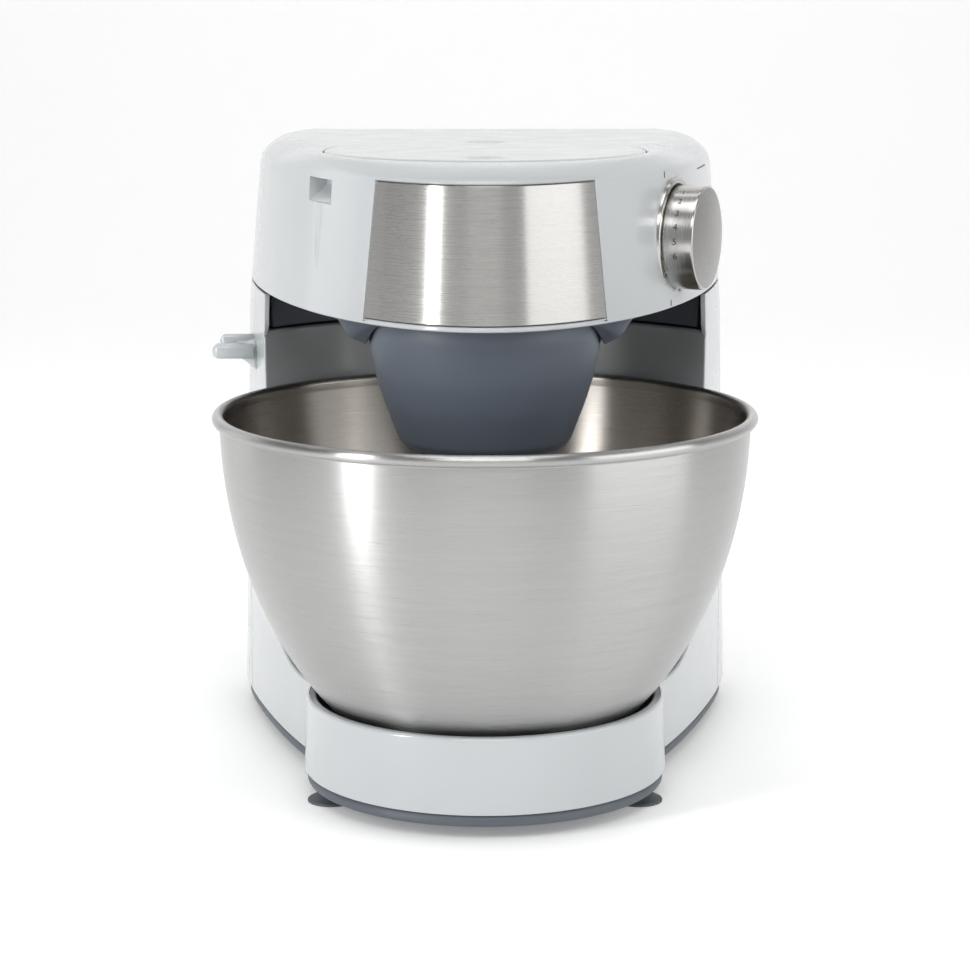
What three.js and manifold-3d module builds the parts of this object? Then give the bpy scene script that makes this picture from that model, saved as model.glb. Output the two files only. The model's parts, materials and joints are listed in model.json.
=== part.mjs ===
// A tilt-head stand mixer with a stainless bowl, as separate parts. Millimetres, +Z up, front towards -Y.
// Every part is made around the bowl's axis (x = 0, y = 0, feet on z = 0); the last lines move the whole
// mixer so that its origin is the middle of its footprint.
import * as THREE from "three";
import { mergeVertices } from "three/addons/utils/BufferGeometryUtils.js";
import Module from "manifold-3d";

const wasm = await Module();
wasm.setup();

// ---------- driving dimensions ----------
const plan = { nose: -73, widest: 155, rear: 236, rearSquareness: 3 }; // footprint, front to back
const wall = { thickness: 3, shoulderZ: 208 }; // moulded walls; the draft steepens above shoulderZ
const width = { base: 121.8, shoulder: 116.8, towerDraft: 0.0255, headDraft: 0.0895 }; // half-widths
const pedestal = { bottom: 12, top: 46, outer: 82.2, opening: 76.5, floor: 24 };
const tower = { top: 218.2, deck: 200.6, seam: 130, faceRadius: 127, sweepRadius: 40 };
const head = { bottom: 219.2, crease: 280.7, top: 288 };
const hinge = { y: 198, z: 212, drum: 38, pin: 5 };
const bowl = { radius: 118.3, top: 173, reach: 166, floorZ: 31, wall: 1.2, bead: 2.7, floorRadius: 54 };
const skirt = { top: 203, bottom: 158, mouth: 31 };
const lid = { y: 35, radius: 73, bottom: 285.8, top: 288.4 };
const motor = { y: 112, can: 40, bottom: 256.3, top: 279 };
const gear = { pitch: 32, ringTeeth: 32, planetTeeth: 12, offset: 20, bottom: 187, height: 9 };
const knob = { x: 84.5, y: 25, z: 250, turn: -21.5, radius: 23.3, bezel: 26.5, length: 17.3 };
const lever = { y: 124, z: 190, tip: -131, shaft: 5 };
const plate = { bottom: 6.5, top: 11.7 };
const foot = { radius: 11, front: [69, -20], rear: [86, 196] };
const shaftGap = 0.06; // running clearance on a radius
const restGap = 0.4; // between parts that only rest on each other

// ---------- colours ----------
const white = { color: 0xdfe3e4, roughness: 0.28, metalness: 0 };
const slate = { color: 0x59616c, roughness: 0.5, metalness: 0 };
const darkGrey = { color: 0x4a5058, roughness: 0.6, metalness: 0 };
const rubber = { color: 0x3b4148, roughness: 0.8, metalness: 0 };
const steel = { color: 0xb9b7b2, roughness: 0.32, metalness: 1 };
const zinc = { color: 0xa8abad, roughness: 0.45, metalness: 1 };
const nylon = { color: 0xe8e4d4, roughness: 0.6, metalness: 0 };
const copper = { color: 0xa8643a, roughness: 0.4, metalness: 1 };
const board = { color: 0x2f5c40, roughness: 0.6, metalness: 0 };

// ---------- solids ----------
function solid(geometry) {
  const bare = geometry.clone();
  bare.deleteAttribute("normal");
  bare.deleteAttribute("uv");
  const merged = mergeVertices(bare, 1e-4);
  return new wasm.Manifold(
    new wasm.Mesh({
      numProp: 3,
      vertProperties: new Float32Array(merged.attributes.position.array),
      triVerts: new Uint32Array(merged.index.array),
    }),
  );
}

function surface(shape) {
  const mesh = shape.getMesh();
  const geometry = new THREE.BufferGeometry();
  geometry.setAttribute("position", new THREE.BufferAttribute(new Float32Array(mesh.vertProperties), 3));
  geometry.setIndex(new THREE.BufferAttribute(new Uint32Array(mesh.triVerts), 1));
  return geometry;
}

const join = (first, ...others) => others.reduce((all, next) => all.add(next), first);
const cut = (first, ...tools) => tools.reduce((left, tool) => left.subtract(tool), first);
const common = (first, ...others) => others.reduce((all, next) => all.intersect(next), first);

function block(x, y, z) {
  const box = new THREE.BoxGeometry(x[1] - x[0], y[1] - y[0], z[1] - z[0]);
  return solid(box.translate((x[0] + x[1]) / 2, (y[0] + y[1]) / 2, (z[0] + z[1]) / 2));
}

// A solid of revolution about the bowl's axis from [radius, height] corners that start and end on the axis
// or close on themselves.
function turned(corners, segments = 32) {
  const points = corners.map(([radius, height]) => new THREE.Vector2(radius, height));
  return solid(new THREE.LatheGeometry(points, segments).rotateX(Math.PI / 2));
}

function disc(radius, bottom, top, segments = 24) {
  return turned([[0, bottom], [radius, bottom], [radius, top], [0, top]], segments);
}

function ring(inner, outer, bottom, top, segments = 32) {
  return cut(disc(outer, bottom, top, segments), disc(inner, bottom - 1, top + 1, segments));
}

const moved = (shape, x, y, z = 0) => shape.translate([x, y, z]);

// An upright prism of an outline given as [x, y] corners.
function prism(corners, bottom, top, steps = 1) {
  const outline = new THREE.Shape(corners.map(([x, y]) => new THREE.Vector2(x, y)));
  const options = { depth: top - bottom, bevelEnabled: false, steps };
  return new THREE.ExtrudeGeometry(outline, options).translate(0, 0, bottom);
}

// A prism along X of a side outline given as [y, z] corners.
function sidePrism(corners, x0, x1) {
  const geometry = prism(corners, x0, x1);
  const place = geometry.attributes.position;
  for (let i = 0; i < place.count; i += 1) {
    place.setXYZ(i, place.getZ(i), place.getX(i), place.getY(i));
  }
  return solid(geometry);
}

// A round bar or hole along X through [y, z].
function crossBar(radius, y, z, x0, x1, segments = 24) {
  const bar = new THREE.CylinderGeometry(radius, radius, x1 - x0, segments);
  return solid(bar.rotateZ(Math.PI / 2).translate((x0 + x1) / 2, y, z));
}

function arc(centre, radius, from, to, steps) {
  return Array.from({ length: steps + 1 }, (_, i) => {
    const angle = THREE.MathUtils.degToRad(from + ((to - from) * i) / steps);
    return [centre[0] + radius * Math.cos(angle), centre[1] + radius * Math.sin(angle)];
  });
}

// ---------- the body's outline ----------
function wallWidth(z) {
  const drop = z - wall.shoulderZ;
  if (drop < 0) return width.shoulder - width.towerDraft * drop;
  return width.shoulder - width.headDraft * drop;
}

function noseFullness(z) {
  const low = 1.16;
  const high = 1.55;
  return low + ((high - low) * Math.min(z - pedestal.bottom, 207)) / 207;
}

// Half the body's width at y and height z, for a wall face set in by inset.
function halfWidth(y, z, inset) {
  const full = wallWidth(z) - inset;
  if (y <= plan.widest) {
    const nose = plan.nose + inset;
    const along = Math.max(0, (y - nose) / (plan.widest - nose));
    return full * Math.sqrt(Math.max(0, 1 - (1 - along) ** noseFullness(z)));
  }
  const rear = plan.rear - inset;
  const along = Math.min(1, (y - plan.widest) / (rear - plan.widest));
  return full * (1 - along ** plan.rearSquareness) ** (1 / plan.rearSquareness);
}

function planOutline(z, inset) {
  const frontSteps = 11;
  const rearSteps = 5;
  const nose = plan.nose + inset;
  const rear = plan.rear - inset;
  const side = [];
  for (let i = 0; i <= frontSteps; i += 1) {
    side.push(nose + (plan.widest - nose) * (1 - Math.cos((i / frontSteps) * (Math.PI / 2))));
  }
  for (let i = 1; i <= rearSteps; i += 1) {
    const sine = Math.sin((i / rearSteps) * (Math.PI / 2));
    side.push(plan.widest + (rear - plan.widest) * sine ** (2 / plan.rearSquareness));
  }
  const right = side.map((y) => [halfWidth(y, z, inset), y]);
  const left = right.slice(1, -1).reverse().map(([x, y]) => [-x, y]);
  return [...right, ...left];
}

// The body's outline raised from bottom to top with its draft. rise(z) sets it further in near the top.
function body(bottom, top, inset, steps = 4, rise = () => 0) {
  const geometry = prism(planOutline(bottom, inset), bottom, top, steps);
  const place = geometry.attributes.position;
  const middle = (plan.nose + plan.rear) / 2;
  const length = plan.rear - plan.nose - 2 * inset;
  for (let i = 0; i < place.count; i += 1) {
    const [x, y, z] = [place.getX(i), place.getY(i), place.getZ(i)];
    const before = halfWidth(y, bottom, inset);
    const after = halfWidth(y, z, inset);
    const scale = before > 1e-6 ? after / before : 1;
    const shrink = 1 - rise(z) / Math.max(after, 1);
    place.setX(i, x * scale * Math.max(shrink, 0.2));
    place.setY(i, middle + (y - middle) * (1 - (2 * rise(z)) / length));
  }
  return solid(geometry);
}

// ---------- base and tower ----------
function seatSweep(radius, offset) {
  const centre = [tower.faceRadius - tower.sweepRadius, pedestal.top + tower.sweepRadius];
  return arc(centre, radius + offset, -90, 0, 6);
}

function baseHousing() {
  const outside = common(
    body(pedestal.bottom, tower.top, 0, 4),
    block([-140, 140], [-90, tower.seam - 0.2], [0, 260]),
  );
  const sweep = seatSweep(tower.sweepRadius, 0);
  const bowlSpace = turned([[0, pedestal.top], ...sweep, [tower.faceRadius, 240], [0, 240]], 44);
  const base = turned(
    [
      [0, pedestal.bottom],
      [pedestal.outer, pedestal.bottom],
      [pedestal.outer - 1, 42],
      [pedestal.outer - 2, 45],
      [pedestal.outer - 3.6, pedestal.top],
      [0, pedestal.top],
    ],
    40,
  );
  const seat = disc(pedestal.opening, pedestal.floor, 60, 40);
  const hollowTop = tower.deck - wall.thickness;
  const innerSweep = seatSweep(tower.sweepRadius, wall.thickness);
  const towerHollow = common(
    body(pedestal.bottom - 1, hollowTop, wall.thickness, 4),
    turned(
      [
        [pedestal.opening + wall.thickness, 0],
        [320, 0],
        [320, hollowTop],
        [tower.faceRadius + wall.thickness, hollowTop],
        ...innerSweep.reverse(),
        [pedestal.opening + wall.thickness, pedestal.top - wall.thickness],
        [pedestal.opening + wall.thickness, 0],
      ],
      44,
    ),
  );
  const pedestalHollow = disc(72, 0, pedestal.floor - 3.5, 32);
  const betweenCheeks = body(tower.deck, 240, wall.thickness + 0.2, 2);
  const leverHole = crossBar(lever.shaft + shaftGap, lever.y, lever.z, -130, -90);
  const latchSlot = block([-103, -91], [96, 131], [190, 205]);
  const shell = join(cut(outside, bowlSpace), base);
  return cut(shell, seat, towerHollow, pedestalHollow, betweenCheeks, leverHole, latchSlot);
}

function rearCover() {
  const outside = common(
    body(pedestal.bottom, tower.top, 0, 4),
    block([-140, 140], [tower.seam + 0.2, 260], [0, 260]),
  );
  const hollow = body(pedestal.bottom - 1, 240, wall.thickness, 4);
  const hingeRoom = crossBar(hinge.drum + 1.2, hinge.y, hinge.z, -140, 140, 40);
  const glandHole = moved(crossHole(6.1), 0, plan.rear - 8, 34);
  return cut(outside, hollow, hingeRoom, glandHole);
}

// A short round hole or plug along Y that starts at y = 0.
function crossHole(radius, length = 20, segments = 32) {
  const bar = new THREE.CylinderGeometry(radius, radius, length, segments);
  return solid(bar.translate(0, length / 2, 0));
}

function cordGland() {
  const flange = moved(crossHole(9, 2.5), 0, plan.rear + 0.4, 34);
  const neck = moved(crossHole(5.8, 12), 0, plan.rear - 10, 34);
  const bore = moved(crossHole(3.6, 30), 0, plan.rear - 12, 34);
  return cut(join(flange, neck), bore);
}

function basePlate() {
  const inset = 1.2;
  const rim = inset + 3;
  const floor = plate.bottom + 2.5;
  const ahead = block([-140, 140], [-120, 10], [0, 40]);
  const footprint = join(
    body(plate.bottom, plate.top, inset, 1),
    disc(pedestal.outer - inset, plate.bottom, plate.top, 40),
  );
  // In front of the pedestal's middle only the round pedestal reaches the ground.
  const frontCorners = cut(ahead, disc(pedestal.outer - inset, 0, 40, 40));
  const round = disc(pedestal.outer - rim, floor, 20, 40);
  const pocketRear = cut(join(body(floor, 20, rim, 1), round), ahead);
  const pocketFront = common(round, ahead);
  return cut(footprint, frontCorners, pocketRear, pocketFront);
}

function suctionFoot() {
  const cup = [[0, 1.6], [4, 1.2], [9.4, 0], [foot.radius, 0], [foot.radius, 1.3]];
  const stem = [[8, 3.4], [6, 5], [6, 6.2], [0, 6.2]];
  return turned([...cup, ...stem], 20);
}

function seatRing() {
  const deck = ring(57, 75.5, pedestal.floor + restGap, 29, 40);
  const tabs = [0, 120, 240].map((turn) =>
    common(ring(49.5, 58, 27.6, 29, 40), sector(turn + 90, 13)),
  );
  return join(deck, ...tabs);
}

// A tall wedge about the bowl's axis, half wide on each side of the direction.
function sector(direction, half) {
  const corners = [[0, 0], ...arc([0, 0], 200, direction - half, direction + half, 4)];
  return solid(prism(corners, 0, 80));
}

// ---------- hinge ----------
function hingeBracket() {
  const profile = [
    [150, 12.4],
    [224, 12.4],
    [210, 120],
    ...arc([hinge.y, hinge.z], 12, -8, 188, 10),
    [176, 120],
  ];
  const cheek = sidePrism(profile, -2, 2);
  const bore = crossBar(hinge.pin + shaftGap, hinge.y, hinge.z, -5, 5);
  const lightening = sidePrism([[172, 30], [208, 30], [200, 110], [182, 110]], -5, 5);
  return cut(cheek, bore, lightening);
}

const hingePin = () => crossBar(hinge.pin, hinge.y, hinge.z, -76, 76);

// ---------- head ----------
// The head from the side. Its rear end is a drum about the hinge, so it turns inside the tower's walls.
function headProfile(inset) {
  const drum = hinge.drum - inset;
  const start = inset > 0 ? 180 : 180 - THREE.MathUtils.radToDeg(Math.asin(7.2 / hinge.drum));
  const around = arc([hinge.y, hinge.z], drum, start, 405, 18);
  return [
    [-90, inset > 0 ? 216 : head.bottom],
    ...(inset > 0 ? [[hinge.y - drum, 216]] : []),
    ...around,
    [217 - inset, 268],
    [214 - inset, head.crease + 6],
    [-90, head.crease + 6],
  ];
}

function panelTrim(grow) {
  const half = { bottom: 52 + grow, top: 46.2 + grow };
  const low = 222 - grow;
  const high = 280.2 + grow;
  const corners = [[-half.bottom, low], [half.bottom, low], [half.top, high], [-half.top, high]];
  const geometry = prism(corners, -30, 100).rotateX(Math.PI / 2);
  return solid(geometry);
}

function headShell() {
  const outside = common(body(172, head.crease, 0, 4), sidePrism(headProfile(0), -140, 140));
  const inside = common(
    body(171, head.crease + 3, wall.thickness, 4),
    sidePrism(headProfile(wall.thickness), -140, 140),
  );
  const panelSeat = cut(common(body(214, 290, -2, 3), panelTrim(0.35)), body(213, 291, 1.7, 3));
  const knobSeat = onKnob(disc(knob.bezel + 0.3, -12, 12, 32));
  const slotAngles = arc([hinge.y, hinge.z], 60, 238, 345, 8);
  const slotWedge = [[hinge.y, hinge.z], ...slotAngles];
  const bracketSlots = [-70, 70].map((x) => sidePrism(slotWedge, x - 2.9, x + 2.9));
  const grip = moved(
    solid(new THREE.BoxGeometry(22, 4, 9.5).rotateX(0.25).rotateZ(THREE.MathUtils.degToRad(-64.5))),
    -72.6,
    -4.2,
    273.2,
  );
  return cut(outside, inside, panelSeat, knobSeat, ...bracketSlots, grip);
}

function crownRise(z) {
  const up = Math.min((z - head.crease) / (head.top - head.crease), 1);
  return 14 * (1 - Math.sqrt(1 - up * up * 0.985));
}

function topCover() {
  const rearSlope = [[-90, 270], [213.5, 270], [213.5, head.crease], [207, 286], [196, 290], [-90, 290]];
  const innerSlope = [[-90, 270], [210.5, 270], [208, 280], [203, 284], [-90, 290]];
  const bottom = head.crease + 0.35;
  const outside = common(body(bottom, head.top, 0, 5, crownRise), sidePrism(rearSlope, -140, 140));
  const inside = common(
    body(bottom - 1, head.top - 5.6, wall.thickness, 4, (z) => crownRise(Math.max(z, head.crease) + 2)),
    sidePrism(innerSlope, -140, 140),
  );
  const lidSeat = moved(disc(lid.radius + 0.4, lid.bottom - 0.3, 300, 44), 0, lid.y);
  const outletHole = moved(disc(30.4, 270, 300, 28), 0, lid.y);
  return cut(outside, inside, lidSeat, outletHole);
}

const frontPanel = () => cut(common(body(214, 290, 0.1, 3), panelTrim(0)), body(213, 291, 1.3, 3));

function lowerShell() {
  const front = block([-140, 140], [-90, 155], [180, 240]);
  const back = block([-140, 140], [-90, 152], [180, 240]);
  const behindBowl = (radius) => cut(front, disc(radius, 170, 250, 44));
  const tray = common(body(218.7, 222.6, wall.thickness + 0.8, 1), front);
  const funnel = common(
    turned([[0, 203.4], [51.4, 203.4], [55, 207], [64, 212], [80, 219], [0, 219]], 36),
    body(203, 220, wall.thickness + 0.5, 1),
  );
  const band = common(body(202.3, 219, wall.thickness + 2.6, 1), behindBowl(128.6));
  const trayHollow = common(body(221, 230, wall.thickness + 3, 1), back);
  const funnelHollow = common(
    turned([[0, 203], [45.6, 203], [48, 206.4], [58, 212], [72, 221.2], [0, 221.2]], 36),
    body(202, 222, wall.thickness + 3, 1),
  );
  const bandHollow = common(body(205, 230, wall.thickness + 5.6, 1), behindBowl(131.8), back);
  const latchRoom = block([-104, -90], [94, 136], [200, 218.6]);
  return cut(join(tray, funnel, band), trayHollow, funnelHollow, bandHollow, latchRoom);
}

function hubSkirt() {
  const inside = [
    [46, skirt.top],
    [46, 192],
    [42.2, 180.2],
    [37.8, 168.8],
    [34, 162.4],
    [skirt.mouth, 160.5],
  ];
  const outside = [
    [skirt.mouth, skirt.bottom],
    [32.6, skirt.bottom],
    [35.4, 159.2],
    [38.4, 162.6],
    [40.4, 168],
    [44.8, 179.5],
    [48.7, 192],
    [51, skirt.top],
  ];
  return turned([...inside, ...outside, inside[0]], 32);
}

// ---------- head's inside ----------
function headChassis() {
  const lower = join(
    block([-42, 42], [-36, 156], [223, 227]),
    block([-64, 64], [120, 156], [223, 227]),
    disc(15, 206, 227, 40),
  );
  const upper = block([-44, 44], [-36, 156], [253, 256]);
  const posts = [[-40, -32], [40, -32], [-40, 62], [40, 62], [-40, 151], [40, 151]].map(([x, y]) =>
    moved(disc(4, 226, 254, 8), x, y),
  );
  const eye = arc([hinge.y, hinge.z], 13, -80, 100, 8);
  const earProfile = [[130, 223], [157, 223], [168, 215], [hinge.y, 199], ...eye, [156, 232], [130, 232]];
  const ears = [[-64, -58], [58, 64]].map(([x0, x1]) => sidePrism(earProfile, x0, x1));
  const pinBore = crossBar(hinge.pin + shaftGap, hinge.y, hinge.z, -90, 90);
  const hubBore = disc(6 + shaftGap, 200, 240);
  const outletBore = moved(disc(4 + shaftGap, 250, 260), 0, lid.y);
  const motorBore = moved(disc(8, 220, 260, 32), 0, motor.y);
  return cut(join(lower, upper, ...posts, ...ears), pinBore, hubBore, outletBore, motorBore);
}

function ringGear() {
  const pitchRadius = gear.pitch;
  const outside = join(disc(42, gear.bottom, 200, 28), disc(45, 196.5, 202, 28));
  const space = toothSpace(gear.ringTeeth, pitchRadius - 1.4, pitchRadius + 1.9);
  return cut(outside, space, disc(pitchRadius + 1.9, gear.bottom + gear.height + 0.5, 210, 28));
}

// The opening inside a ring gear: round, with a pocket between each pair of teeth.
function toothSpace(count, tip, root) {
  const pitch = 360 / count;
  const corners = [];
  for (let i = 0; i < count; i += 1) {
    const at = i * pitch - 90;
    corners.push(...arc([0, 0], root, at - pitch * 0.27, at + pitch * 0.27, 1));
    corners.push(...arc([0, 0], tip, at + pitch * 0.4, at + pitch * 0.6, 1));
  }
  return solid(prism(corners, 180, 210));
}

function planetGear() {
  const pitchRadius = gear.pitch - gear.offset;
  const pitch = 360 / gear.planetTeeth;
  const corners = [];
  for (let i = 0; i < gear.planetTeeth; i += 1) {
    const at = i * pitch;
    corners.push(...arc([0, 0], pitchRadius + 1.4, at - pitch * 0.1, at + pitch * 0.1, 1));
    corners.push(...arc([0, 0], pitchRadius - 2, at + pitch * 0.27, at + pitch * 0.73, 1));
  }
  const wheel = solid(prism(corners, gear.bottom + 0.3, gear.bottom + gear.height - 0.3));
  return cut(wheel, disc(7 + shaftGap, 180, 210, 40));
}

function toolSpindle() {
  const shaft = turned([[0, 146], [6.2, 146], [7, 147], [7, 202], [0, 202]], 40);
  return cut(shaft, disc(4.1, 140, 164, 32));
}

function planetHub() {
  const disk = disc(30.4, 158.6, 164, 36);
  const boss = disc(11, 163, 184);
  const shaft = disc(6, 180, 240);
  const spindleHole = moved(disc(7 + shaftGap, 150, 175, 40), 0, -gear.offset);
  const bossRelief = moved(disc(8.5, 165.5, 210, 32), 0, -gear.offset);
  return cut(join(disk, boss, shaft), spindleHole, bossRelief);
}

function pulley(radius, bore, bottom, top) {
  return cut(disc(radius, bottom, top, 28), disc(bore, bottom - 1, top + 1));
}

// A flat belt round two pulleys, the first at frontY and the second at the motor.
function belt(frontY, frontRadius, motorRadius, bottom, top) {
  const lean = THREE.MathUtils.radToDeg(Math.asin((frontRadius - motorRadius) / (motor.y - frontY)));
  const loop = (grow) => [
    ...arc([0, frontY], frontRadius + grow, -180 - lean, lean, 20),
    ...arc([0, motor.y], motorRadius + grow, lean, 180 - lean, 10),
  ];
  const outer = solid(prism(loop(1.8), bottom, top));
  const inner = solid(prism(loop(0.35), bottom - 1, top + 1));
  return cut(outer, inner);
}

function motorCan() {
  const can = disc(motor.can, motor.bottom, motor.top, 32);
  const inside = disc(motor.can - 2.4, motor.bottom - 1, motor.top - 2.4, 32);
  const vent = disc(11, 250, 300, 32);
  return moved(cut(can, inside, vent), 0, motor.y);
}

function motorStator() {
  return moved(ring(26.5, 37.2, 259, 275, 28), 0, motor.y);
}

function motorRotor() {
  const shaft = disc(4, 228, 276);
  const core = disc(25.6, 260, 274, 28);
  return moved(join(shaft, core), 0, motor.y);
}

function outletDrive() {
  const shaft = disc(4, 244, 262);
  const dog = disc(17, 260, 270, 28);
  const cross = [0, 60, 120].map((turn) =>
    solid(new THREE.BoxGeometry(40, 5, 8).translate(0, 0, 269).rotateZ(THREE.MathUtils.degToRad(turn))),
  );
  return moved(cut(join(shaft, dog), ...cross), 0, lid.y);
}

function outletCollar() {
  const tube = ring(26, 30, 258, lid.bottom - 0.7, 28);
  const flange = ring(28, 35, 279, 282, 28);
  return moved(join(tube, flange), 0, lid.y);
}

function outletLid() {
  const cover = disc(lid.radius, lid.bottom, lid.top, 44);
  const plug = ring(20, 25.4, 279, lid.bottom + 0.5, 28);
  const grips = [-1, 1].map((side) => moved(disc(9, lid.top - 0.8, 300, 32), 0, side * 52));
  return moved(cut(join(cover, plug), ...grips), 0, lid.y);
}

// ---------- controls ----------
function onKnob(shape) {
  const turn = new THREE.Matrix4().makeRotationZ(THREE.MathUtils.degToRad(knob.turn));
  const lay = new THREE.Matrix4().makeRotationY(Math.PI / 2);
  const place = new THREE.Matrix4().makeTranslation(knob.x, knob.y, knob.z);
  return solid(surface(shape).applyMatrix4(place.multiply(turn).multiply(lay)));
}

function knobBezel() {
  const cup = cut(disc(knob.bezel, -5, 2.5, 32), disc(knob.radius + 0.6, -1.5, 5, 32));
  return onKnob(cut(cup, disc(4 + shaftGap, -10, 10, 32)));
}

function speedKnob() {
  const side = [[0, -0.9], [knob.radius, -0.9], [knob.radius, 16.4], [22.4, knob.length]];
  const face = [[19.6, knob.length], [18.6, 16.2], [0, 15.4]];
  const cap = turned([...side, ...face], 36);
  const grip = moved(block([-18.4, 18.4], [-2.2, 2.2], [15, 17]), 0, 0);
  const notch = block([knob.radius - 5, knob.radius + 1], [-0.6, 0.6], [15.6, 18]);
  return onKnob(cut(join(cap, grip), notch, disc(4.3, -2, 8, 32)));
}

const knobShaft = () => onKnob(disc(4, -14, 7.8, 32));

function speedSwitch() {
  const box = block([-12, 12], [-12, 12], [-17, -6]);
  return onKnob(cut(box, disc(4.3, -16, 0, 32)));
}

function releaseLever() {
  const shaft = crossBar(lever.shaft, lever.y, lever.z, -118, -88);
  const hub = crossBar(7, lever.y, lever.z, lever.tip + 2, -115.2, 32);
  const underside = [[95, 184.6], [97, 183.4], [124, 183.2], [128, 190]];
  const upper = [[121, 193], [116, 188.4], [97, 187.8], [95, 186.6]];
  const tab = sidePrism([...underside, ...upper], lever.tip, -114.8);
  const web = sidePrism([[100, 184], [122, 178], [128, 186], [122, 190]], -118.4, -115);
  return join(shaft, hub, tab, web);
}

function latchArm() {
  const outline = [[118, 182], [130, 182], [128, 205], [128, 213], [121, 213], [120, 205]];
  const arm = sidePrism(outline, -100, -94);
  return cut(arm, crossBar(lever.shaft + shaftGap, lever.y, lever.z, -110, -80));
}

const latchStrike = () => block([-101, -93], [128.8, 133], [205.4, 218.4]);

function latchSpring() {
  class Helix extends THREE.Curve {
    getPoint(t) {
      const angle = t * Math.PI * 2 * 2.5;
      const [across, up] = [6.3 * Math.cos(angle), 6.3 * Math.sin(angle)];
      return new THREE.Vector3(-108.4 + t * 6.4, lever.y + across, lever.z + up);
    }
  }
  const wire = new THREE.Shape(arc([0, 0], 0.7, 0, 288, 4).map(([x, y]) => new THREE.Vector2(x, y)));
  return solid(new THREE.ExtrudeGeometry(wire, { steps: 28, bevelEnabled: false, extrudePath: new Helix() }));
}

function controlBoard() {
  const sheet = block([-34, 34], [150, 152], [40, 120]);
  const choke = moved(crossHole(11, 14, 24), -14, 152.2 - 0.4, 96);
  const capacitor = block([4, 26], [151.8, 168], [58, 84]);
  return join(sheet, choke, capacitor);
}

// ---------- bowl ----------
function bowlWall(inset, steps) {
  const points = [];
  const low = bowl.floorZ + 4 + inset * 0.4;
  for (let i = 0; i <= steps; i += 1) {
    const z = low + ((bowl.top - 1 - low) * i) / steps;
    const down = (bowl.top + 2 - z) / bowl.reach;
    points.push([bowl.radius * Math.sqrt(1 - down * down) - inset, z]);
  }
  return points;
}

function bowlShape() {
  const outer = bowlWall(0, 7);
  const inner = bowlWall(bowl.wall, 7).reverse();
  const bead = arc([bowl.radius + 0.6, bowl.top], bowl.bead, -70, 190, 4);
  return turned(
    [
      [0, bowl.floorZ],
      [bowl.floorRadius, bowl.floorZ],
      ...outer,
      ...bead,
      ...inner,
      [bowl.floorRadius - 1, bowl.floorZ + bowl.wall],
      [0, bowl.floorZ + bowl.wall],
    ],
    40,
  );
}

function bowlFoot() {
  const hoop = ring(43, 47, 24.8, bowl.floorZ - 0.3, 40);
  const lugs = [0, 120, 240].map((turn) => common(ring(46, 54.5, 24.8, 27, 40), sector(turn + 90, 11)));
  return join(hoop, ...lugs);
}

// ---------- assembly ----------
const mixer = new THREE.Group();
const model = new THREE.Group();
mixer.add(model);

function add(name, shape, look) {
  const mesh = new THREE.Mesh(surface(shape), new THREE.MeshStandardMaterial(look));
  mesh.name = name;
  model.add(mesh);
  return mesh;
}

add("base_housing", baseHousing(), white);
add("rear_cover", rearCover(), white);
add("base_plate", basePlate(), darkGrey);
add("cord_gland", cordGland(), rubber);
for (const [end, [x, y]] of [["front", foot.front], ["rear", foot.rear]]) {
  add(`foot_${end}_left`, suctionFoot(), rubber).position.set(-x, y, 0);
  add(`foot_${end}_right`, suctionFoot(), rubber).position.set(x, y, 0);
}
add("bowl_seat_ring", seatRing(), slate);
add("hinge_bracket_left", hingeBracket(), zinc).position.x = -70;
add("hinge_bracket_right", hingeBracket(), zinc).position.x = 70;
add("hinge_pin", hingePin(), steel);
add("control_board", controlBoard(), board);
add("latch_spring", latchSpring(), steel);

add("head_shell", headShell(), white);
add("top_cover", topCover(), white);
add("front_panel", frontPanel(), steel);
add("lower_shell", lowerShell(), slate);
add("hub_skirt", hubSkirt(), slate);
add("head_chassis", headChassis(), zinc);
add("ring_gear", ringGear(), nylon);
add("drive_belt", belt(0, 36, 9, 230.6, 237.4), rubber);
add("outlet_belt", belt(lid.y, 14, 14, 244.6, 249.4), rubber);
add("motor_can", motorCan(), zinc);
add("motor_stator", motorStator(), copper);
add("outlet_collar", outletCollar(), slate);
add("knob_bezel", knobBezel(), steel);
add("speed_switch", speedSwitch(), darkGrey);
add("latch_strike", latchStrike(), steel);

add("motor_rotor", motorRotor(), zinc);
add("motor_drive_pulley", moved(pulley(9, 4.15, 229, 239), 0, motor.y), zinc);
add("motor_outlet_pulley", moved(pulley(14, 4.15, 243, 251), 0, motor.y), zinc);
add("planet_hub", planetHub(), slate);
add("drive_pulley", pulley(36, 6.15, 229, 239), nylon);
add("tool_spindle", toolSpindle(), steel).position.y = -gear.offset;
add("planet_gear", planetGear(), nylon).position.y = -gear.offset;
add("outlet_drive", outletDrive(), slate);
add("outlet_pulley", moved(pulley(14, 4.15, 243, 251), 0, lid.y), nylon);
add("outlet_lid", outletLid(), white);
add("speed_knob", speedKnob(), steel);
add("knob_shaft", knobShaft(), steel);
add("release_lever", releaseLever(), white);
add("latch_arm", latchArm(), slate);
add("bowl", bowlShape(), steel);
add("bowl_foot", bowlFoot(), steel);

const footprint = new THREE.Box3().setFromObject(mixer).getCenter(new THREE.Vector3());
model.position.set(-footprint.x, -footprint.y, 0);

export default mixer;
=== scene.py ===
"""A stand mixer with a stainless bowl: fine surfaces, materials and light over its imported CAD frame.

Shapes are worked out in millimetres about the bowl's axis, x to the dial's side, y to the rear and z up.
"""

import json
from math import acos, asin, atan2, cos, degrees, dist, hypot, pi, radians, sin, sqrt

import bmesh
import bpy
from mathutils import Matrix, Vector


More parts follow.
